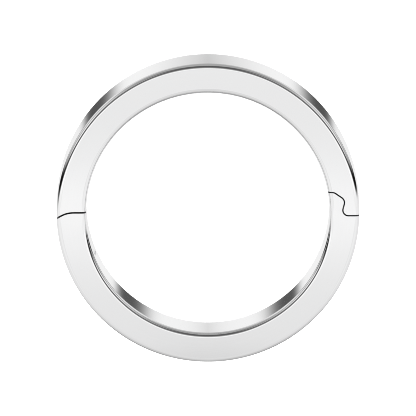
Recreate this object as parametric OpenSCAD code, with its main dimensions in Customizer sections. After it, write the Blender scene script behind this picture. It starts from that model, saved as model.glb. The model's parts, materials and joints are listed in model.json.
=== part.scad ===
// Flat band ring in two halves, hinged at one side and closed by a snap catch at the other.
// The ring lies on its side: the back face is on Z = 0 and the finger hole runs along Z.
// The hinge is on the -X side, the catch on the +X side, and the upper half lies towards +Y.

/* [Band] */
// Inside diameter of the closed ring
inside_d = 17.3; // [15:0.1:22]
// Thickness of the wall from the inside to the outside
wall_t = 2.1; // [1.9:0.05:2.6]
// Width of the band along the finger
band_w = 4.6; // [4:0.1:8]
// Radius of the rounded edges
edge_r = 0.34; // [0.1:0.02:0.44]

/* [Joint lines] */
// Gap between the two halves at the hinge, seen as a thin dark line
hinge_gap = 0.12; // [0.06:0.01:0.16]
// Gap between the two halves at the catch
catch_gap = 0.1; // [0.04:0.01:0.14]
// Height of the hinge's joint line above the ring's middle
hinge_line_y = 0.05; // [-0.2:0.01:0.2]

/* [Hinge] */
// Depth of the pin's centre below the hinge's joint line
pin_drop = 1.87; // [1.7:0.01:2.1]
// Diameter of the hinge pin
pin_d = 0.8; // [0.6:0.05:1]
// Radial clearance round the pin
pin_clear = 0.02; // [0.01:0.01:0.04]
// Metal that covers each end of the pin
pin_cover = 0.35; // [0.2:0.05:0.6]
// Width of the middle knuckle
knuckle_w = 1.6; // [1.2:0.1:2]
// Clearance at each side of the middle knuckle
knuckle_clear = 0.05; // [0.02:0.01:0.1]

/* [Catch] */
// Depth of the slanted shoulder into the wall, as a share of the wall
shoulder_depth = 0.145; // [0.1:0.005:0.2]
// Height of the shoulder, as a share of the wall
shoulder_height = 0.72; // [0.6:0.005:0.8]
// Depth of the tongue's bulge into the wall, as a share of the wall
bulge_depth = 0.525; // [0.48:0.005:0.56]
// Height of the bulge, as a share of the wall
bulge_height = 0.46; // [0.36:0.005:0.5]
// Depth of the tongue's neck into the wall, as a share of the wall
neck_depth = 0.385; // [0.34:0.005:0.42]
// Height of the neck's foot, as a share of the wall
neck_height = -0.075; // [-0.16:0.005:0]

/* [Hidden] */
$fn = 96;
metal = [0.86, 0.87, 0.88];
inner_r = inside_d / 2;
outer_r = inner_r + wall_t;
middle_r = inner_r + wall_t / 2;
// Reach of the cutting shapes, past anything here
far = 2 * outer_r;
pin_y = hinge_line_y - pin_drop;
pin_x = -sqrt(middle_r * middle_r - pin_y * pin_y);
pin_angle = atan2(pin_y, pin_x);
// Height of the knuckle's lower side
knuckle_z = (band_w - knuckle_w) / 2;
// Steps in each rounded corner of the catch line
corner_steps = 10;
// Rounding of the catch line's corners, as shares of the wall
shoulder_round = 0.21;
bulge_round = 0.21;
neck_round = 0.19;

// The catch line's corners from the inside of the band to the outside: [x, y, rounding]
catch_corners = [
    for (corner = [
        [-1, shoulder_height, 0],
        [shoulder_depth, shoulder_height, shoulder_round],
        [bulge_depth, bulge_height, bulge_round],
        [neck_depth, neck_height, neck_round],
        [2, neck_height, 0]
    ])
    [inner_r + wall_t * corner[0], wall_t * corner[1], wall_t * corner[2]]
];

function flat(corner) = [corner[0], corner[1]];
function unit(v) = v / norm(v);
function left_of(v) = [-v[1], v[0]];

// Points on a line of corners, moved sideways by shift, with each corner rounded about its own centre
function rounded_line(corners, shift) = [
    for (i = [0 : len(corners) - 1])
    let (
        here = flat(corners[i]),
        before = i > 0 ? flat(corners[i - 1]) : 2 * here - flat(corners[i + 1]),
        after = i < len(corners) - 1 ? flat(corners[i + 1]) : 2 * here - flat(corners[i - 1]),
        way_in = unit(here - before),
        way_out = unit(after - here),
        turn = atan2(way_in[0] * way_out[1] - way_in[1] * way_out[0], way_in * way_out),
        side = sign(turn),
        radius = corners[i][2],
        start = here - way_in * radius * tan(abs(turn) / 2),
        centre = start + left_of(way_in) * radius * side,
        start_angle = atan2(way_in[1], way_in[0]) - 90 * side
    )
    each radius == 0
        ? [here + left_of(way_in) * shift]
        : [
            for (k = [0 : corner_steps])
            let (a = start_angle + turn * k / corner_steps)
            centre + (radius - shift * side) * [cos(a), sin(a)]
        ]
];

// Section of the band with its four rounded edges
module band_section() {
    translate([inner_r, edge_r]) square([wall_t, band_w - 2 * edge_r]);
    translate([inner_r + edge_r, 0]) square([wall_t - 2 * edge_r, band_w]);
    for (x = [inner_r + edge_r, outer_r - edge_r]) {
        for (y = [edge_r, band_w - edge_r]) {
            translate([x, y]) circle(edge_r);
        }
    }
}

// The whole closed band
module whole_band() {
    rotate([0, 0, 90]) rotate_extrude() band_section();
}

// Everything above the catch line at the ring's right, moved by shift away from the line
module above_catch(shift) {
    polygon(concat(rounded_line(catch_corners, shift), [[far, far], [0, far], [0, 0]]));
}

// Everything below the hinge's joint line at the ring's left: a round about the pin, the strip inside of it
// and the rest below the pin, all grown by shift
module below_hinge(shift) {
    translate([pin_x, pin_y]) circle(pin_drop + shift);
    translate([pin_x, -far]) square([-pin_x, far + hinge_line_y + shift]);
    translate([-far, -far]) square([far, far + pin_y]);
}

// The knuckle's outline is the joint line turned over about the radius through the pin, and it reaches up
// past the hinge's joint line into the upper half
module knuckle_outline(shift) {
    intersection() {
        rotate(pin_angle) mirror([0, 1]) rotate(-pin_angle) below_hinge(shift);
        translate([-far, pin_y - 2 * pin_drop]) square([far, 4 * pin_drop]);
    }
}

// Half of the plane that holds the upper half, without the knuckle
module upper_outline() {
    difference() {
        translate([-far, -far]) square([far, 2 * far]);
        below_hinge(hinge_gap / 2);
    }
    above_catch(catch_gap / 2);
}

// Half of the plane that holds the lower half, without the slot for the knuckle
module lower_outline() {
    below_hinge(-hinge_gap / 2);
    difference() {
        translate([0, -far]) square([far, 2 * far]);
        above_catch(-catch_gap / 2);
    }
}

// A round bar along the pin from height low to height high
module pin_bar(radius, low, high) {
    translate([pin_x, pin_y, low]) cylinder(r = radius, h = high - low);
}

module upper_band() {
    color(metal)
    difference() {
        intersection() {
            whole_band();
            union() {
                linear_extrude(band_w) upper_outline();
                translate([0, 0, knuckle_z])
                linear_extrude(knuckle_w) knuckle_outline(-hinge_gap / 2);
            }
        }
        pin_bar(pin_d / 2 + pin_clear, 0, band_w);
    }
}

module lower_band() {
    color(metal)
    difference() {
        intersection() {
            whole_band();
            linear_extrude(band_w) lower_outline();
        }
        translate([0, 0, knuckle_z - knuckle_clear])
        linear_extrude(knuckle_w + 2 * knuckle_clear) knuckle_outline(hinge_gap / 2);
        pin_bar(pin_d / 2 + pin_clear, pin_cover - pin_clear, band_w - pin_cover + pin_clear);
    }
}

module hinge_pin() {
    color(metal) pin_bar(pin_d / 2, pin_cover, band_w - pin_cover);
}

upper_band();
lower_band();
hinge_pin();
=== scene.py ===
"""Hinged flat band ring in polished white metal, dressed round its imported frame.

The ring lies on its side on a pale floor, as in the frame: its back face is on Z = 0, the finger hole runs
along Z, the hinge is at -X and the catch at +X. Shapes are modelled in millimetres and become metres when a
piece is finished.
"""

import json
import logging
import math
from collections.abc import Sequence
from dataclasses import dataclass
from enum import Enum
from typing import Any

import bmesh
import bpy
from mathutils import Matrix, Vector

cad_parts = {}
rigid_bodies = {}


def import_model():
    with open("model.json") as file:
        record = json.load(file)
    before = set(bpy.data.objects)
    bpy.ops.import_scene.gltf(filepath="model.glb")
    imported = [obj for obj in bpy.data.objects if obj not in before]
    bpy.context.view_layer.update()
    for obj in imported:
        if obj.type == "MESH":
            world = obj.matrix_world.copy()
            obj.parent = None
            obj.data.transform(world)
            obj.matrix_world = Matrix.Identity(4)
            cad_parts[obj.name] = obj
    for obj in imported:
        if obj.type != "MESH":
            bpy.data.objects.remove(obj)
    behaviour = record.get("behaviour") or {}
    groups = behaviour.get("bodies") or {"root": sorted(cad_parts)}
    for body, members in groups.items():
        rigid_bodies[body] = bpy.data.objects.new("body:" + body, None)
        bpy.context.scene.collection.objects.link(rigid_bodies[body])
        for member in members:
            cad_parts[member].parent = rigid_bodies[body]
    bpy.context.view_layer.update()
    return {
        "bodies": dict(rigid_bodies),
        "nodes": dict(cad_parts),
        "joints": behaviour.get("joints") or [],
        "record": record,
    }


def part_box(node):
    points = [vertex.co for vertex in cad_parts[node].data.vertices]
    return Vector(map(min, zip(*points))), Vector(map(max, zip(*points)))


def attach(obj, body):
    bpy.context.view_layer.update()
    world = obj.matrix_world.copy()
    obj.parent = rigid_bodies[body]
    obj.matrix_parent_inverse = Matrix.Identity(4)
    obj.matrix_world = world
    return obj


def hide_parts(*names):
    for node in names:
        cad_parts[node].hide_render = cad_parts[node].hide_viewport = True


log = logging.getLogger("ring")

METRES_PER_MM = 0.001
MM_PER_METRE = 1000.0
# Points of an outline this near to each other are one point
SAME_POINT_MM = 1e-6
# Edges and gaps this small are leftovers of a cut
SLIVER_MM = 1e-4
QUARTER_TURN = 90.0
WHITE = (1.0, 1.0, 1.0, 1.0)


class Half(Enum):
    """The two halves of the band: each one's piece, the CAD node that it replaces and its body."""

    UPPER = ("upper_half_band", "upper_band", "upper_half")
    LOWER = ("lower_half_band", "lower_band", "lower_half")

    @property
    def piece(self) -> str:
        """Name of the finished piece."""
        return self.value[0]

    @property
    def node(self) -> str:
        """Name of the CAD node that the piece replaces."""
        return self.value[1]

    @property
    def body(self) -> str:
        """Name of the body that carries the piece."""
        return self.value[2]


class Skin(Enum):
    """Which finish a face takes: the order of the material slots on each half."""

    POLISHED = 0
    MATING = 1


class Wire:
    """One output of a shader node that takes part in Python expressions.

    Each operator adds one Math node, so a line of shader maths reads as it would on plain numbers.
    """

    def __init__(self, board: "Board", socket: bpy.types.NodeSocket | None) -> None:
        """Keeps an output socket, or None for a node without one, and the board that new nodes go on."""
        self.board = board
        self.socket = socket

    def _math(self, operation: str, *values: "Wire | float") -> "Wire":
        """Output of a new Math node with this operation and these inputs, in order."""
        return self.board.add("ShaderNodeMath", {"operation": operation}, dict(enumerate(values)))

    def __add__(self, other: "Wire | float") -> "Wire":
        """Sum."""
        return self._math("ADD", self, other)

    def __radd__(self, other: float) -> "Wire":
        """Sum with a number on the left."""
        return self._math("ADD", other, self)

    def __sub__(self, other: "Wire | float") -> "Wire":
        """Difference."""
        return self._math("SUBTRACT", self, other)

    def __rsub__(self, other: float) -> "Wire":
        """Difference with a number on the left."""
        return self._math("SUBTRACT", other, self)

    def __mul__(self, other: "Wire | float") -> "Wire":
        """Product."""
        return self._math("MULTIPLY", self, other)

    def __rmul__(self, other: float) -> "Wire":
        """Product with a number on the left."""
        return self._math("MULTIPLY", other, self)

    def __truediv__(self, other: "Wire | float") -> "Wire":
        """Quotient."""
        return self._math("DIVIDE", self, other)

    def __rtruediv__(self, other: float) -> "Wire":
        """Quotient with a number on the left."""
        return self._math("DIVIDE", other, self)

    def __pow__(self, power: float) -> "Wire":
        """Power of a value that is never negative."""
        return self._math("POWER", self, power)

    def __neg__(self) -> "Wire":
        """The value with its sign turned."""
        return self._math("MULTIPLY", self, -1.0)

    def __abs__(self) -> "Wire":
        """The value without its sign."""
        return self._math("ABSOLUTE", self)

    def rise(self, low: float, high: float) -> "Wire":
        """A smooth step.

        Args:
            low: Where the step starts at 0.
            high: Where it reaches 1.

        Returns:
            The step, from 0 to 1.
        """
        return self.board.add(
            "ShaderNodeMapRange",
            {"interpolation_type": "SMOOTHSTEP"},
            {"Value": self, "From Min": low, "From Max": high},
        )

    def bell(self, middle: "Wire | float", width: "Wire | float", power: float = 2.0) -> "Wire":
        """A hump: 1 at its middle, a third at its width, and flatter on top with a power above 2."""
        reach = abs(self - middle) / width
        return self._math("EXPONENT", -(reach**power))

    def capped(self, limit: float) -> "Wire":
        """The value, or the limit where it is more."""
        return self._math("MINIMUM", self, limit)

    def angle_from(self, ahead: "Wire") -> "Wire":
        """The angle between a way ahead and the way that goes this far sideways, in radians."""
        return self._math("ARCTAN2", self, ahead)

    def towards(self, other: "Wire | float", share: "Wire") -> "Wire":
        """This value at share 0 and the other at share 1, in proportion between."""
        return self + (other - self) * share


class Board:
    """A node tree that nodes are added to, one call each."""

    def __init__(self, tree: bpy.types.NodeTree) -> None:
        """Takes the node tree of a material or of the world, and empties it."""
        self.tree = tree
        self.tree.nodes.clear()

    def add(
        self,
        kind: str,
        settings: dict[str, Any] | None = None,
        inputs: dict[int | str, Any] | None = None,
        output: int | str = 0,
    ) -> Wire:
        """Adds a node, sets it up and links it.

        Args:
            kind: The node's type.
            settings: Properties of the node, which are set first.
            inputs: A wire or a plain value for each input socket, by name or place.
            output: Which output to hand back.

        Returns:
            That output.
        """
        node = self.tree.nodes.new(kind)
        for name, value in (settings or {}).items():
            setattr(node, name, value)
        for key, value in (inputs or {}).items():
            if isinstance(value, Wire):
                self.tree.links.new(value.socket, node.inputs[key])
            else:
                node.inputs[key].default_value = value
        return Wire(self, node.outputs[output] if node.outputs else None)

    def place_mm(self) -> Wire:
        """Object coordinates in millimetres."""
        place = self.add("ShaderNodeTexCoord", output="Object")
        return self.scaled(place, MM_PER_METRE)

    def scaled(self, vector: Wire, scale: float) -> Wire:
        """A vector times a number."""
        return self.add("ShaderNodeVectorMath", {"operation": "SCALE"}, {0: vector, "Scale": scale})

    def parts(self, vector: Wire) -> tuple[Wire, Wire, Wire]:
        """X, Y and Z of a vector."""
        split = self.add("ShaderNodeSeparateXYZ", inputs={0: vector})
        return tuple(Wire(self, socket) for socket in split.socket.node.outputs)

    def vector(self, x: Wire | float, y: Wire | float, z: Wire | float) -> Wire:
        """A vector from three values."""
        return self.add("ShaderNodeCombineXYZ", inputs={0: x, 1: y, 2: z})

    def noise(self, where: Wire, scale: float, detail: float = 2.0, roughness: float = 0.5) -> Wire:
        """Smooth noise from 0 to 1, about 0.5.

        Args:
            where: The coordinates that it is read at.
            scale: Lumps to a unit of those coordinates.
            detail: Finer layers added to it.
            roughness: Strength of each finer layer.

        Returns:
            The noise.
        """
        return self.add(
            "ShaderNodeTexNoise",
            {"noise_dimensions": "3D"},
            {"Vector": where, "Scale": scale, "Detail": detail, "Roughness": roughness},
        )

    def blend(self, share: Wire, first: Sequence[float], second: Sequence[float]) -> Wire:
        """A colour between two colours.

        Args:
            share: 0 for the first colour, 1 for the second.
            first: Red, green and blue.
            second: Red, green and blue.

        Returns:
            The mixed colour.
        """
        colour_first, colour_second, colour_result = 6, 7, 2
        return self.add(
            "ShaderNodeMix",
            {"data_type": "RGBA"},
            {0: share, colour_first: (*first, 1.0), colour_second: (*second, 1.0)},
            output=colour_result,
        )


@dataclass(frozen=True)
class Metal:
    """A bare metal surface whose tone, gloss and relief all vary a little, as on a real one."""

    name: str
    bright: tuple[float, float, float]
    dull: tuple[float, float, float]
    roughness: float
    roughness_spread: float
    relief_mm: float
    clouds_per_mm: float = 0.35
    cloud_share: float = 0.7

    def relief(self, board: Board, place: Wire) -> Wire:
        """Height of the surface's fine marks, from 0 to 1, at places in millimetres."""
        raise NotImplementedError

    def clouds(self, board: Board, place: Wire) -> Wire:
        """Slow variation of tone and gloss over the surface, from 0 to 1."""
        return board.noise(place, scale=self.clouds_per_mm, detail=3.0)

    def build(self) -> bpy.types.Material:
        """Makes the material.

        Returns:
            The material, with tone, roughness and relief from its nodes.
        """
        material = bpy.data.materials.new(self.name)
        material.use_nodes = True
        material.diffuse_color = (*self.bright, 1.0)
        board = Board(material.node_tree)
        place = board.place_mm()
        clouds = self.clouds(board, place)
        marks = self.relief(board, place)
        dullness = clouds * self.cloud_share + marks * (1.0 - self.cloud_share)
        tone = board.blend(dullness, self.bright, self.dull)
        roughness = self.roughness + (clouds + marks - 1.0) * self.roughness_spread
        normal = board.add(
            "ShaderNodeBump",
            inputs={"Strength": 1.0, "Distance": self.relief_mm * METRES_PER_MM, "Height": marks},
        )
        surface = board.add(
            "ShaderNodeBsdfPrincipled",
            inputs={
                "Base Color": tone,
                "Metallic": 1.0,
                "Roughness": roughness,
                "Normal": normal,
            },
        )
        board.add("ShaderNodeOutputMaterial", inputs={"Surface": surface})
        return material


@dataclass(frozen=True)
class BuffedMetal(Metal):
    """Mirror-polished white metal with the hairlines that a buffing wheel leaves along the band."""

    hairlines_per_mm: float = 9.0
    hairline_bend: float = 0.05
    hairline_fade: float = 0.02

    def relief(self, board: Board, place: Wire) -> Wire:
        """Hairlines that follow the band round: rings on its flat faces and lines along its walls.

        Args:
            board: The material's board.
            place: Object coordinates in millimetres.

        Returns:
            Their height, from 0 to 1.
        """
        x, y, z = board.parts(place)
        distance = (x * x + y * y) ** 0.5
        bend = self.hairline_bend
        along = board.vector(distance + x * bend, z + y * bend, x * self.hairline_fade)
        return board.noise(along, scale=self.hairlines_per_mm, detail=4.0, roughness=0.65)


@dataclass(frozen=True)
class MilledMetalWithPaintedShade(Metal):
    """The faces that meet at the joints: cut and not polished, with a dark tone that is painted shade, so
    the narrow joint gaps read dark.
    """

    passes_per_mm: float = 6.0
    sideways_share: float = 0.15

    def relief(self, board: Board, place: Wire) -> Wire:
        """Fine cutter marks across the width of the band.

        Args:
            board: The material's board.
            place: Object coordinates in millimetres.

        Returns:
            Their height, from 0 to 1.
        """
        x, y, z = board.parts(place)
        across = board.vector(x * self.sideways_share, y * self.sideways_share, z)
        return board.noise(across, scale=self.passes_per_mm, detail=3.0, roughness=0.6)


@dataclass(frozen=True)
class DrawnWire(Metal):
    """Hard drawn wire, as the hinge pin is cut from, with die lines along its length."""

    lines_per_mm: float = 14.0
    lengthways_share: float = 0.04

    def relief(self, board: Board, place: Wire) -> Wire:
        """Die lines along Z.

        Args:
            board: The material's board.
            place: Object coordinates in millimetres.

        Returns:
            Their height, from 0 to 1.
        """
        x, y, z = board.parts(place)
        lengthways = board.vector(x, y, z * self.lengthways_share)
        return board.noise(lengthways, scale=self.lines_per_mm, detail=3.0, roughness=0.6)


BUFFED = BuffedMetal(
    name="buffed_white_metal",
    bright=(0.94, 0.94, 0.94),
    dull=(0.91, 0.91, 0.915),
    roughness=0.05,
    roughness_spread=0.03,
    relief_mm=0.00006,
)
# The mating faces' dark tone is painted shade that makes the narrow joint gaps read dark; the satin,
# unpolished finish is their own, but cut metal itself is brighter.
MILLED_WITH_PAINTED_SHADE = MilledMetalWithPaintedShade(
    name="milled_joint_metal",
    bright=(0.46, 0.46, 0.465),
    dull=(0.34, 0.34, 0.345),
    roughness=0.38,
    roughness_spread=0.12,
    relief_mm=0.002,
)
DRAWN = DrawnWire(
    name="drawn_pin_wire",
    bright=(0.72, 0.72, 0.725),
    dull=(0.58, 0.58, 0.59),
    roughness=0.24,
    roughness_spread=0.08,
    relief_mm=0.001,
)


@dataclass(frozen=True)
class Corner:
    """A corner of an outline, with the radius that it is rounded to."""

    x: float
    y: float
    radius: float = 0.0

    @property
    def point(self) -> Vector:
        """The corner's place before it is rounded."""
        return Vector((self.x, self.y, 0.0))


def left_of(direction: Vector) -> Vector:
    """The direction a quarter turn to the left, in the XY plane."""
    return Vector((-direction.y, direction.x, 0.0))


def ways_through(before: Vector, here: Vector, after: Vector) -> tuple[Vector, Vector, float]:
    """How a line of corners turns at one of them.

    Args:
        before: The corner before.
        here: The corner itself.
        after: The corner after.

    Returns:
        The unit way in, the unit way out, and the turn to the left in radians.
    """
    way_in = (here - before).normalized()
    way_out = (after - here).normalized()
    turn = math.atan2(way_in.cross(way_out).z, way_in.dot(way_out))
    return way_in, way_out, turn


def moved_left(line: Sequence[Corner], distance: float) -> list[Corner]:
    """An open line of corners moved sideways, its roundings kept about their own centres.

    Args:
        line: The corners in order, the first and last without rounding.
        distance: How far to the left, or to the right if it is negative.

    Returns:
        The corners of the moved line.
    """
    moved = []
    for index, corner in enumerate(line):
        here = corner.point
        before = line[index - 1].point if index else 2 * here - line[1].point
        after = line[index + 1].point if index < len(line) - 1 else 2 * here - before
        way_in, way_out, turn = ways_through(before, here, after)
        side = left_of(way_in) + left_of(way_out)
        spot = here + side * (distance / (1.0 + way_in.dot(way_out)))
        radius = corner.radius - distance * math.copysign(1.0, turn) if corner.radius else 0.0
        moved.append(Corner(spot.x, spot.y, radius))
    return moved


@dataclass(frozen=True)
class RingSizes:
    """Sizes of the ring in millimetres. The frame gives the main ones and the rest are the maker's."""

    inner_r: float
    width: float
    pin_x: float
    pin_y: float
    wall: float = 2.1
    edge_r: float = 0.34
    hinge_gap: float = 0.12
    catch_gap: float = 0.1
    hinge_line_y: float = 0.05
    pin_d: float = 0.8
    pin_clear: float = 0.02
    pin_cover: float = 0.35
    knuckle_w: float = 1.6
    knuckle_clear: float = 0.05

    @classmethod
    def from_frame(cls, frame: dict[str, Any]) -> "RingSizes":
        """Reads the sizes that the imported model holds.


        Returns:
            The sizes.
        """
        bore = next(m for m in frame["record"]["mounts"] if m["kind"] == "bore")
        low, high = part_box(Half.UPPER.node)
        pin = frame["joints"][0]["pos_m"]
        return cls(
            inner_r=bore["dims"]["r_mm"],
            width=(high[2] - low[2]) * MM_PER_METRE,
            pin_x=pin[0] * MM_PER_METRE,
            pin_y=pin[1] * MM_PER_METRE,
        )

    @property
    def outer_r(self) -> float:
        """Outside radius."""
        return self.inner_r + self.wall

    @property
    def far(self) -> float:
        """Reach of the cutting blocks, past anything here."""
        return 2.0 * self.outer_r

    @property
    def pin_angle(self) -> float:
        """Direction of the pin from the ring's middle, in radians."""
        return math.atan2(self.pin_y, self.pin_x)

    @property
    def turning_r(self) -> float:
        """Radius of the joint line's middle about the pin."""
        return self.hinge_line_y - self.pin_y


class Block:
    """A solid made with mesh operators, used whole or to cut another."""

    arc_steps = 24

    def __init__(self) -> None:
        """Starts empty."""
        self.bm = bmesh.new()

    @classmethod
    def extruded(cls, outline: Sequence[Corner], low: float, high: float) -> "Block":
        """A straight block with a flat outline.

        Args:
            outline: The corners of a closed outline, in order.
            low: Height of its lower side.
            high: Height of its upper side.

        Returns:
            The block.
        """
        block = cls()
        bm = block.bm
        ends = [block._corner(outline, index, low) for index in range(len(outline))]
        for (_, leaving), (arriving, _) in zip(ends, ends[1:] + ends[:1]):
            bm.edges.new((leaving, arriving))
        bmesh.ops.remove_doubles(bm, verts=bm.verts, dist=SAME_POINT_MM)
        bmesh.ops.contextual_create(bm, geom=bm.edges[:])
        raised = bmesh.ops.extrude_face_region(bm, geom=bm.faces[:], use_keep_orig=True)
        lifted = [v for v in raised["geom"] if isinstance(v, bmesh.types.BMVert)]
        bmesh.ops.translate(bm, verts=lifted, vec=(0.0, 0.0, high - low))
        block.close()
        return block

    @classmethod
    def round_bar(cls, x: float, y: float, radius: float, low: float, high: float) -> "Block":
        """A round bar along Z.

        Args:
            x: Its centre.
            y: Its centre.
            radius: Its radius.
            low: Height of its lower end.
            high: Height of its upper end.

        Returns:
            The bar.
        """
        block = cls()
        bmesh.ops.create_cone(
            block.bm,
            cap_ends=True,
            segments=2 * cls.arc_steps,
            radius1=radius,
            radius2=radius,
            depth=high - low,
            matrix=Matrix.Translation((x, y, (low + high) / 2)),
        )
        block.close()
        return block

    def _corner(self, outline: Sequence[Corner], index: int, height: float) -> tuple[Any, Any]:
        """Adds one corner of an outline, as a point or as an arc spun about its centre.

        Args:
            outline: The corners of the closed outline.
            index: Which corner.
            height: Height of the outline's plane.

        Returns:
            The vertex where the corner starts and the one where it ends.
        """
        corner = outline[index]
        lift = Vector((0.0, 0.0, height))
        here = corner.point
        if not corner.radius:
            point = self.bm.verts.new(here + lift)
            return point, point
        after = outline[(index + 1) % len(outline)].point
        way_in, _, turn = ways_through(outline[index - 1].point, here, after)
        start = here - way_in * corner.radius * math.tan(abs(turn) / 2)
        centre = start + left_of(way_in) * math.copysign(corner.radius, turn)
        first = self.bm.verts.new(start + lift)
        arc = bmesh.ops.spin(
            self.bm,
            geom=[first],
            cent=centre + lift,
            axis=(0.0, 0.0, 1.0),
            angle=turn,
            steps=self.arc_steps,
        )
        last = next(v for v in arc["geom_last"] if isinstance(v, bmesh.types.BMVert))
        return first, last

    def turned_over(self, angle: float) -> "Block":
        """Turns the block over about a line through the ring's middle.

        Args:
            angle: The line's direction, in radians.

        Returns:
            The same block.
        """
        over = Matrix.Rotation(angle, 4, "Z") @ Matrix.Diagonal((1.0, -1.0, 1.0, 1.0))
        bmesh.ops.transform(self.bm, matrix=over @ Matrix.Rotation(-angle, 4, "Z"), verts=self.bm.verts)
        self.close()
        return self

    def close(self) -> None:
        """Makes the faces point outwards and gives them the mating skin, as every cut leaves."""
        bmesh.ops.recalc_face_normals(self.bm, faces=self.bm.faces)
        for face in self.bm.faces:
            face.material_index = Skin.MATING.value

    def to_object(self, name: str) -> bpy.types.Object:
        """Makes the block an object of the scene.

        Args:
            name: The object's name.

        Returns:
            The object, with a material slot for each skin.
        """
        mesh = bpy.data.meshes.new(name)
        self.bm.to_mesh(mesh)
        self.bm.free()
        for _ in Skin:
            mesh.materials.append(None)
        made = bpy.data.objects.new(name, mesh)
        bpy.context.scene.collection.objects.link(made)
        return made


def carve(work: bpy.types.Object, tool: Block, operation: str) -> None:
    """Joins, keeps or cuts away what a block covers, and removes the block.

    Args:
        work: The object that is worked on.
        tool: The block.
        operation: UNION, INTERSECT or DIFFERENCE.
    """
    cutter = tool.to_object("cutter")
    step = work.modifiers.new("carve", "BOOLEAN")
    step.operation = operation
    step.solver = "EXACT"
    step.object = cutter
    graph = bpy.context.evaluated_depsgraph_get()
    carved = bpy.data.meshes.new_from_object(work.evaluated_get(graph))
    work.modifiers.clear()
    spent = work.data
    work.data = carved
    bpy.data.meshes.remove(spent)
    bpy.data.meshes.remove(cutter.data)


@dataclass(frozen=True)
class Catch:
    """The catch line at the ring's right. Depths and heights are shares of the wall."""

    sizes: RingSizes
    shoulder: tuple[float, float, float] = (0.145, 0.72, 0.21)
    bulge: tuple[float, float, float] = (0.525, 0.46, 0.21)
    neck: tuple[float, float, float] = (0.385, -0.075, 0.19)
    reach: tuple[float, float] = (-1.0, 2.0)

    def line(self, shift: float) -> list[Corner]:
        """The catch line from the finger hole to the outside.

        Args:
            shift: How far it is moved up or out, to the upper half's side.

        Returns:
            Its corners.
        """
        first = (self.reach[0], self.shoulder[1], 0.0)
        last = (self.reach[1], self.neck[1], 0.0)
        wall = self.sizes.wall
        middle = [
            Corner(self.sizes.inner_r + wall * depth, wall * height, wall * rounding)
            for depth, height, rounding in (first, self.shoulder, self.bulge, self.neck, last)
        ]
        return moved_left(middle, shift)


@dataclass(frozen=True)
class Hinge:
    """The hinge at the ring's left: a rounded joint line about the pin, a knuckle and its slot."""

    sizes: RingSizes

    def line(self, shift: float) -> list[Corner]:
        """The joint line from below the pin's left, over the pin and into the finger hole.

        Args:
            shift: How far it is moved away from the pin, to the upper half's side.

        Returns:
            Its corners.
        """
        sizes = self.sizes
        radius = sizes.turning_r + shift
        left, top = sizes.pin_x - radius, sizes.pin_y + radius
        return [Corner(left, sizes.pin_y), Corner(left, top, radius), Corner(-sizes.inner_r / 2, top)]

    def knuckle(self, shift: float, side: float) -> Block:
        """A block with the knuckle's outline: the joint line turned over about the pin's radius.

        Args:
            shift: How far the outline is moved away from the pin.
            side: How much wider than the knuckle the block is on each side.

        Returns:
            The block.
        """
        sizes = self.sizes
        middle = sizes.width / 2
        reach = sizes.knuckle_w / 2 + side
        line = self.line(shift)
        below = [Corner(line[0].x, -sizes.far), line[1], Corner(0.0, line[1].y), Corner(0.0, -sizes.far)]
        return Block.extruded(below, middle - reach, middle + reach).turned_over(sizes.pin_angle)

    def bore(self, cover: float) -> Block:
        """The pin's hole, ending a little way under each face of the band.

        Args:
            cover: Metal left over each end, or less than nothing for a hole right through.

        Returns:
            The bar to cut it with.
        """
        sizes = self.sizes
        radius = sizes.pin_d / 2 + sizes.pin_clear
        return Block.round_bar(sizes.pin_x, sizes.pin_y, radius, cover, sizes.width - cover)


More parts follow.
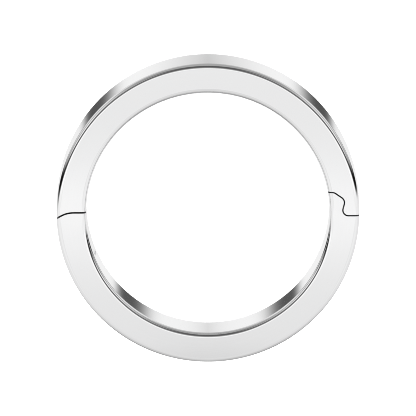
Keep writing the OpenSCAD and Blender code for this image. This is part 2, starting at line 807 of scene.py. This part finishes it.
@dataclass(frozen=True)
class Band:
    """The flat band with its rounded edges, and the two halves that it is cut into."""

    sizes: RingSizes
    round_steps: int = 360
    edge_steps: int = 8

    def whole(self, name: str) -> bpy.types.Object:
        """Spins the band's rounded section once round the finger hole.

        Args:
            name: The object's name.

        Returns:
            The whole band, in millimetres.
        """
        sizes = self.sizes
        block = Block()
        bm = block.bm
        section = (
            Matrix.Translation(((sizes.inner_r + sizes.outer_r) / 2, 0.0, sizes.width / 2))
            @ Matrix.Rotation(math.pi / 2, 4, "X")
            @ Matrix.Diagonal((sizes.wall, sizes.width, 1.0, 1.0))
        )
        bmesh.ops.create_grid(bm, x_segments=1, y_segments=1, size=0.5, matrix=section)
        bmesh.ops.bevel(
            bm,
            geom=bm.verts[:],
            offset=sizes.edge_r,
            offset_type="OFFSET",
            affect="VERTICES",
            segments=self.edge_steps,
            profile=0.5,
            material=-1,
        )
        bmesh.ops.delete(bm, geom=bm.faces[:], context="FACES_ONLY")
        bmesh.ops.spin(
            bm,
            geom=bm.verts[:] + bm.edges[:],
            cent=(0.0, 0.0, 0.0),
            axis=(0.0, 0.0, 1.0),
            angle=math.tau,
            steps=self.round_steps,
            use_merge=True,
        )
        bmesh.ops.recalc_face_normals(bm, faces=bm.faces)
        return block.to_object(name)

    def outline(self, half: Half) -> list[Corner]:
        """The flat outline that holds one half, short of the joint lines by half the gap.

        Args:
            half: Which half.

        Returns:
            Its corners.
        """
        far = self.sizes.far
        side = 1.0 if half is Half.UPPER else -1.0
        hinge = Hinge(self.sizes).line(side * self.sizes.hinge_gap / 2)
        catch = Catch(self.sizes).line(side * self.sizes.catch_gap / 2)
        if half is Half.UPPER:
            return [Corner(-far, far), Corner(-far, self.sizes.pin_y), *hinge, *catch, Corner(far, far)]
        return [Corner(hinge[0].x, -far), *hinge[1:], *catch, Corner(far, -far)]

    def cut(self, half: Half) -> bpy.types.Object:
        """Cuts one half out of the whole band, with its knuckle or slot and the pin's bore.

        Args:
            half: Which half.

        Returns:
            The half, in millimetres.
        """
        sizes = self.sizes
        hinge = Hinge(sizes)
        beyond = -sizes.wall
        work = self.whole(half.piece)
        room = Block.extruded(self.outline(half), beyond, sizes.width - beyond)
        if half is Half.UPPER:
            # The knuckle joins the room that the half may fill before the band is cut to it
            room_object = room.to_object("room")
            carve(room_object, hinge.knuckle(-sizes.hinge_gap / 2, 0.0), "UNION")
            joined = Block()
            joined.bm.from_mesh(room_object.data)
            bpy.data.meshes.remove(room_object.data)
            joined.close()
            carve(work, joined, "INTERSECT")
            carve(work, hinge.bore(beyond), "DIFFERENCE")
        else:
            carve(work, room, "INTERSECT")
            carve(work, hinge.knuckle(sizes.hinge_gap / 2, sizes.knuckle_clear), "DIFFERENCE")
            carve(work, hinge.bore(sizes.pin_cover - sizes.pin_clear), "DIFFERENCE")
        return work

    def true_normal(self, point: Vector) -> Vector:
        """The exact outward direction of the band's surface at a point on it.

        Args:
            point: A point on the surface, in millimetres.

        Returns:
            The unit normal.
        """
        sizes = self.sizes
        out = Vector((point.x, point.y, 0.0))
        distance = out.length
        core_low, core_high = sizes.inner_r + sizes.edge_r, sizes.outer_r - sizes.edge_r
        core_distance = min(max(distance, core_low), core_high)
        core_height = min(max(point.z, sizes.edge_r), sizes.width - sizes.edge_r)
        normal = out * ((distance - core_distance) / distance)
        normal.z = point.z - core_height
        return normal.normalized()


@dataclass(frozen=True)
class BandHalf:
    """One half of the band as a finished piece."""

    half: Half
    band: Band
    crease: float = math.radians(35.0)

    def build(self) -> bpy.types.Object:
        """Cuts the half, cleans its mesh and smooths it.

        Returns:
            The piece, in metres.
        """
        piece = self.band.cut(self.half)
        self._clean(piece.data)
        self._smooth(piece.data)
        piece.data.transform(Matrix.Scale(METRES_PER_MM, 4))
        return piece

    def _clean(self, mesh: bpy.types.Mesh) -> None:
        """Merges what the cuts left doubled and drops slivers.

        Args:
            mesh: The half's mesh, in millimetres.
        """
        bm = bmesh.new()
        bm.from_mesh(mesh)
        bmesh.ops.remove_doubles(bm, verts=bm.verts, dist=SLIVER_MM)
        bmesh.ops.dissolve_degenerate(bm, edges=bm.edges, dist=SLIVER_MM)
        bm.to_mesh(mesh)
        bm.free()

    def _smooth(self, mesh: bpy.types.Mesh) -> None:
        """Gives the polished faces their exact normals and the others smooth ones up to the crease angle.

        Args:
            mesh: The half's mesh, in millimetres.
        """
        mesh.shade_smooth()
        mesh.set_sharp_from_angle(angle=self.crease)
        # A vector of no length leaves a corner's normal as it is
        normals = [Vector()] * len(mesh.loops)
        for polygon in mesh.polygons:
            if polygon.material_index != Skin.POLISHED.value:
                continue
            for index in polygon.loop_indices:
                corner = mesh.vertices[mesh.loops[index].vertex_index].co
                normals[index] = self.band.true_normal(corner)
        mesh.normals_split_custom_set(normals)

    def dress(self, piece: bpy.types.Object, skins: dict[Skin, bpy.types.Material]) -> None:
        """Gives the piece its finishes and its place in the frame.

        Args:
            piece: The half.
            skins: The material of each skin.
        """
        for skin in Skin:
            piece.data.materials[skin.value] = skins[skin]
        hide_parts(self.half.node)
        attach(piece, self.half.body)


@dataclass(frozen=True)
class HingePin:
    """The hidden pin, which keeps its CAD shape and gets a finish."""

    node: str = "hinge_pin"

    def dress(self, pin: bpy.types.Object, metal: bpy.types.Material) -> None:
        """Gives the pin's CAD object its material."""
        pin.data.materials.clear()
        pin.data.materials.append(metal)


@dataclass(frozen=True)
class Card:
    """A soft-edged card, lamp or patch on the tent.

    Turns are degrees from the front, alike to the left and to the right, and heights are shares of the
    tent's radius above its middle.
    """

    level: float
    turn: float
    turn_reach: float
    height: float
    height_reach: float
    power: float = 4.0

    def over(self, tent: Wire | float, turn: Wire, height: Wire) -> Wire:
        """The tent's level with the card on it.

        Args:
            tent: The level without the card.
            turn: Turn of each direction.
            height: Height of each direction.

        Returns:
            The level with it.
        """
        cover = turn.bell(self.turn, self.turn_reach, self.power)
        cover = cover * height.bell(self.height, self.height_reach, self.power)
        return tent + (self.level - tent) * cover


@dataclass(frozen=True)
class Swell:
    """A value that changes round the tent: one number at the back, one at the side and one at the front."""

    back: float
    side: float
    side_turn: float
    side_reach: float
    front: float

    def round(self, turn: Wire, nearness: Wire) -> Wire:
        """The value at a turn in degrees, where nearness is 1 at the front and 0 from past the side."""
        value = self.back + (self.side - self.back) * turn.bell(self.side_turn, self.side_reach)
        return value.towards(self.front, nearness)


@dataclass(frozen=True)
class Arch:
    """The tent's dark opening: level behind the ring, wide at its sides and rising over the camera."""

    slope: float = 0.1
    climb: float = 0.71
    climb_power: float = 7.65
    above: Swell = Swell(back=0.061, side=0.12, side_turn=60.0, side_reach=85.0, front=0.1)
    below: Swell = Swell(back=0.04, side=0.17, side_turn=89.0, side_reach=43.0, front=0.56)
    level: Swell = Swell(back=0.16, side=0.0, side_turn=86.0, side_reach=90.0, front=0.1)
    power: float = 3.64
    front_part: tuple[float, float] = (0.6, 0.95)
    softness: float = 0.01

    def middle(self, frontness: Wire) -> Wire:
        """Height of the opening's middle, where frontness is 0 at the back and 1 at the front."""
        return frontness * self.slope + (frontness**self.climb_power) * self.climb

    def upper_side(self, offset: Wire) -> Wire:
        """1 where an offset from the opening's middle is upwards, 0 where it is downwards."""
        return offset.rise(-self.softness, self.softness)

    def over(self, tent: Wire, turn: Wire, frontness: Wire, height: Wire) -> Wire:
        """The tent's level with the opening in it.

        Args:
            tent: The level without the opening.
            turn: Turn from the front, in degrees.
            frontness: 0 at the back, 1 at the front.
            height: Height of each direction.

        Returns:
            The level with it.
        """
        nearness = frontness.rise(*self.front_part)
        offset = height - self.middle(frontness)
        below = self.below.round(turn, nearness)
        above = self.above.round(turn, nearness)
        reach = below.towards(above, self.upper_side(offset))
        return tent.towards(self.level.round(turn, nearness), offset.bell(0.0, reach, self.power))


@dataclass(frozen=True)
class LightTent:
    """The soft tent round the ring, which the metal mirrors.

    Levels are shares of full white. The front is +Z, towards the camera, and up is +Y, as in the picture.
    Only mirror rays meet the tent, so it neither lights the floor nor hides it. The fields go from the
    tent's undermost parts to those that lie over them.
    """

    radius: float = 0.25
    fineness: int = 5
    cap: float = 1.08
    # The pale base, darker straight below, and its fold behind the ring
    base: float = 0.83
    base_below: float = 0.59
    base_turn: float = 0.55
    fold: float = 0.57
    fold_height: float = -0.61
    fold_slope: float = -0.33
    fold_reach: float = 0.28
    fold_start: tuple[float, float] = (90.0, 150.0)
    # The grey ceiling, its lamps and the dark card round the lens
    ceiling: float = 0.4
    lamps: tuple[Card, ...] = (
        Card(level=1.2, turn=132.0, turn_reach=5.0, height=0.13, height_reach=0.18),
        Card(level=0.96, turn=64.0, turn_reach=12.0, height=0.29, height_reach=0.4),
        Card(level=0.82, turn=135.0, turn_reach=38.0, height=0.55, height_reach=0.24),
        Card(level=0.94, turn=172.0, turn_reach=10.0, height=0.09, height_reach=0.15),
    )
    lens_card: float = 0.11
    lens_card_turn: tuple[float, float] = (9.0, 91.0)
    lens_card_low: tuple[float, float] = (0.7, 0.8)
    lens_card_high: tuple[float, float] = (0.9, 0.94)
    # The back wall's glow, the dark opening over it and a card that stands at the right only
    back_glow: Card = Card(
        level=0.96, turn=177.0, turn_reach=9.0, height=-0.065, height_reach=0.114, power=2.0
    )
    arch: Arch = Arch()
    right_card: Card = Card(level=0.87, turn=85.0, turn_reach=50.0, height=-0.12, height_reach=0.085)
    right_card_start: tuple[float, float] = (0.0, 0.2)
    # The white sweep in front of the ring
    sweep: float = 0.91
    sweep_height: float = -0.2
    sweep_reach: tuple[float, float] = (80.0, 0.29)
    sweep_softness: float = 0.05
    # What the rounded edges and the flat face mirror in front, on the sweep and under the lens
    front_glow: Card = Card(
        level=1.6, turn=14.0, turn_reach=26.0, height=-0.01, height_reach=0.07, power=2.0
    )
    front_shade: Card = Card(
        level=0.76, turn=0.0, turn_reach=19.0, height=-0.55, height_reach=0.4, power=2.0
    )
    lens_part: tuple[float, float] = (0.8, 0.95)
    lip: float = 0.15
    lip_height: float = -0.173
    lip_reach: float = 0.018
    shade: float = 0.18
    shade_side: float = 0.03
    shade_near: tuple[float, float] = (0.215, 0.225)
    shade_end: tuple[float, float] = (0.232, 0.312)

    def level(self, board: Board) -> Wire:
        """How bright the tent is in each direction.

        Args:
            board: The tent material's board.

        Returns:
            The level.
        """
        place = board.add("ShaderNodeTexCoord", output="Object")
        way = board.add("ShaderNodeVectorMath", {"operation": "NORMALIZE"}, {0: place})
        right, up, front = board.parts(way)
        turn = abs(right).angle_from(front) * math.degrees(1.0)
        frontness = front / ((right * right + front * front) ** 0.5) * 0.5 + 0.5
        overhead = self.arch.upper_side(up - self.arch.middle(frontness))
        tent = self._base(turn, up).towards(self._ceiling(turn, up), overhead)
        tent = self.back_glow.over(tent, turn, up)
        tent = self.arch.over(tent, turn, frontness, up)
        tent = tent.towards(self.right_card.over(tent, turn, up), right.rise(*self.right_card_start))
        tent = self._sweep(tent, turn, up)
        tent = self.front_glow.over(tent, turn, up)
        tent = self.front_shade.over(tent, turn, up)
        return self._below_the_lens(tent, right, up, front.rise(*self.lens_part)).capped(self.cap)

    def _base(self, turn: Wire, up: Wire) -> Wire:
        """The pale base, darker straight below and in its fold behind the ring.

        Args:
            turn: Turn from the front, in degrees.
            up: Height of each direction.

        Returns:
            Its level.
        """
        level = self.base + (-up).rise(self.base_turn, 1.0) * (self.base_below - self.base)
        quarters_from_back = 2.0 - turn * (1.0 / QUARTER_TURN)
        fold_height = self.fold_height + quarters_from_back * self.fold_slope
        fold = up.bell(fold_height, self.fold_reach) * turn.rise(*self.fold_start)
        return level * (1.0 - fold * self.fold)

    def _ceiling(self, turn: Wire, up: Wire) -> Wire:
        """The grey ceiling with its lamps, and the dark card round the lens.

        Args:
            turn: Turn from the front, in degrees.
            up: Height of each direction.

        Returns:
            Its level.
        """
        level: Wire | float = self.ceiling
        for lamp in self.lamps:
            level = lamp.over(level, turn, up)
        card = (1.0 - turn.rise(*self.lens_card_turn)) * up.rise(*self.lens_card_low)
        return level.towards(self.lens_card, card * (1.0 - up.rise(*self.lens_card_high)))

    def _sweep(self, tent: Wire, turn: Wire, up: Wire) -> Wire:
        """The white sweep that runs up in front of the ring, below the lens.

        Args:
            tent: The level without the sweep.
            turn: Turn from the front, in degrees.
            up: Height of each direction.

        Returns:
            The level with it.
        """
        turn_reach, height_reach = self.sweep_reach
        across, along = turn / turn_reach, (up - self.sweep_height) / height_reach
        distance = (across * across + along * along) ** 0.5
        edge = distance.rise(1.0 - self.sweep_softness, 1.0 + self.sweep_softness)
        return tent.towards(self.sweep, 1.0 - edge)

    def _below_the_lens(self, tent: Wire, right: Wire, up: Wire, ahead: Wire) -> Wire:
        """The bright lip under the lens and the shade under that, which the ring's flat face mirrors.

        Args:
            tent: The level without them.
            right: How far each direction goes to the right.
            up: Height of each direction.
            ahead: 1 towards the camera's side, 0 elsewhere.

        Returns:
            The level with them.
        """
        tent = tent + up.bell(self.lip_height, self.lip_reach) * ahead * self.lip
        down = -up
        shade = right.bell(0.0, self.shade_side) * down.rise(*self.shade_near)
        return tent * (1.0 - shade * (1.0 - down.rise(*self.shade_end)) * ahead * self.shade)

    def build(self) -> bpy.types.Object:
        """Makes the tent.

        Returns:
            The tent's object.
        """
        material = bpy.data.materials.new("tent")
        material.use_nodes = True
        board = Board(material.node_tree)
        glow = board.add("ShaderNodeEmission", inputs={"Color": WHITE, "Strength": self.level(board)})
        board.add("ShaderNodeOutputMaterial", inputs={"Surface": glow})
        material.cycles.emission_sampling = "NONE"
        bm = bmesh.new()
        bmesh.ops.create_icosphere(bm, subdivisions=self.fineness, radius=self.radius)
        bmesh.ops.reverse_faces(bm, faces=bm.faces)
        tent = new_object("light_tent", bm, material)
        for ray in ("camera", "diffuse", "transmission", "volume_scatter", "shadow"):
            setattr(tent, f"visible_{ray}", False)
        return tent


@dataclass(frozen=True)
class Floor:
    """The plain pale floor that the ring lies on."""

    half_side: float = 2.0
    drop: float = 0.00001
    colour: tuple[float, float, float] = (0.9, 0.9, 0.9)

    def build(self) -> bpy.types.Object:
        """Makes the floor, which the metal doesn't mirror.

        Returns:
            The floor's object.
        """
        material = bpy.data.materials.new("pale_floor")
        material.use_nodes = True
        board = Board(material.node_tree)
        paper = board.add("ShaderNodeBsdfDiffuse", inputs={"Color": (*self.colour, 1.0)})
        board.add("ShaderNodeOutputMaterial", inputs={"Surface": paper})
        bm = bmesh.new()
        below = Matrix.Translation((0.0, 0.0, -self.drop))
        bmesh.ops.create_grid(bm, x_segments=1, y_segments=1, size=self.half_side, matrix=below)
        floor = new_object("floor", bm, material)
        floor.visible_glossy = False
        return floor


def new_object(name: str, bm: bmesh.types.BMesh, material: bpy.types.Material) -> bpy.types.Object:
    """Makes a stage object from a mesh.

    Args:
        name: The object's name.
        bm: Its mesh, which is freed.
        material: Its material.

    Returns:
        The object, linked to the scene.
    """
    mesh = bpy.data.meshes.new(name)
    bm.to_mesh(mesh)
    bm.free()
    mesh.materials.append(material)
    made = bpy.data.objects.new(name, mesh)
    bpy.context.scene.collection.objects.link(made)
    return made


@dataclass(frozen=True)
class Studio:
    """Plain soft light, a pale floor and the camera at the picture's angle."""

    tent: LightTent
    floor: Floor
    sky_level: float = 2.2
    lamp_size: float = 0.5
    lamp_distance: float = 0.7
    lamp_tilt: float = math.radians(35.0)
    lamp_watts: float = 3.0
    camera_distance: float = 1.35
    camera_tilt: float = math.radians(10.19)
    aim_right: float = 0.000007
    aim_down: float = 0.000011
    view_width: float = 0.029565
    sensor: float = 36.0
    clip_range: tuple[float, float] = (0.01, 10.0)
    filter_width: float = 0.9

    def light(self) -> None:
        """Sets the even sky and a soft lamp over the ring. The metal mirrors neither, only the tent."""
        world = bpy.data.worlds.new("studio")
        world.use_nodes = True
        board = Board(world.node_tree)
        sky = board.add("ShaderNodeBackground", inputs={"Color": WHITE, "Strength": self.sky_level})
        board.add("ShaderNodeOutputWorld", inputs={"Surface": sky})
        bpy.context.scene.world = world
        world.cycles_visibility.glossy = False
        lamp = bpy.data.lights.new("soft_lamp", "AREA")
        lamp.shape = "DISK"
        lamp.size = self.lamp_size
        lamp.energy = self.lamp_watts
        holder = bpy.data.objects.new("soft_lamp", lamp)
        holder.visible_glossy = False
        tilt = self.lamp_tilt
        holder.rotation_euler = (-tilt, 0.0, 0.0)
        holder.location = Vector((0.0, math.sin(tilt), math.cos(tilt))) * self.lamp_distance
        bpy.context.scene.collection.objects.link(holder)

    def shoot(self, middle: Vector) -> None:
        """Places the camera and sets how sharply it sees.

        The photo was taken from far off with a long lens, so its lines of sight are all but parallel.

        Args:
            middle: The ring's middle, in metres, which it looks a hair beside.
        """
        lens = bpy.data.cameras.new("camera")
        lens.sensor_width = self.sensor
        lens.lens = self.sensor * self.camera_distance / self.view_width
        lens.clip_start, lens.clip_end = self.clip_range
        camera = bpy.data.objects.new("camera", lens)
        tilt = self.camera_tilt
        towards_camera = Vector((0.0, math.sin(tilt), math.cos(tilt)))
        down = Vector((0.0, -math.cos(tilt), math.sin(tilt)))
        aim = middle + Vector((self.aim_right, 0.0, 0.0)) + down * self.aim_down
        camera.location = aim + towards_camera * self.camera_distance
        camera.rotation_euler = (-tilt, 0.0, 0.0)
        bpy.context.scene.collection.objects.link(camera)
        bpy.context.scene.camera = camera
        bpy.context.scene.view_settings.view_transform = "Standard"
        bpy.context.scene.cycles.filter_width = self.filter_width


def main() -> None:
    """Builds the ring round its frame, lights it and sets the camera."""
    logging.basicConfig(level=logging.INFO, format="%(name)s: %(message)s")
    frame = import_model()
    sizes = RingSizes.from_frame(frame)
    band = Band(sizes)
    skins = {Skin.POLISHED: BUFFED.build(), Skin.MATING: MILLED_WITH_PAINTED_SHADE.build()}
    for half in Half:
        maker = BandHalf(half, band)
        piece = maker.build()
        maker.dress(piece, skins)
        log.info("%s: %d faces", piece.name, len(piece.data.polygons))
    pin = HingePin()
    pin.dress(frame["nodes"][pin.node], DRAWN.build())
    log.info("%s: dressed", pin.node)
    studio = Studio(LightTent(), Floor())
    studio.tent.build()
    studio.floor.build()
    studio.light()
    studio.shoot(Vector((0.0, 0.0, sizes.width / 2 * METRES_PER_MM)))
    log.info("studio: ready")


if __name__ == "__main__":
    main()
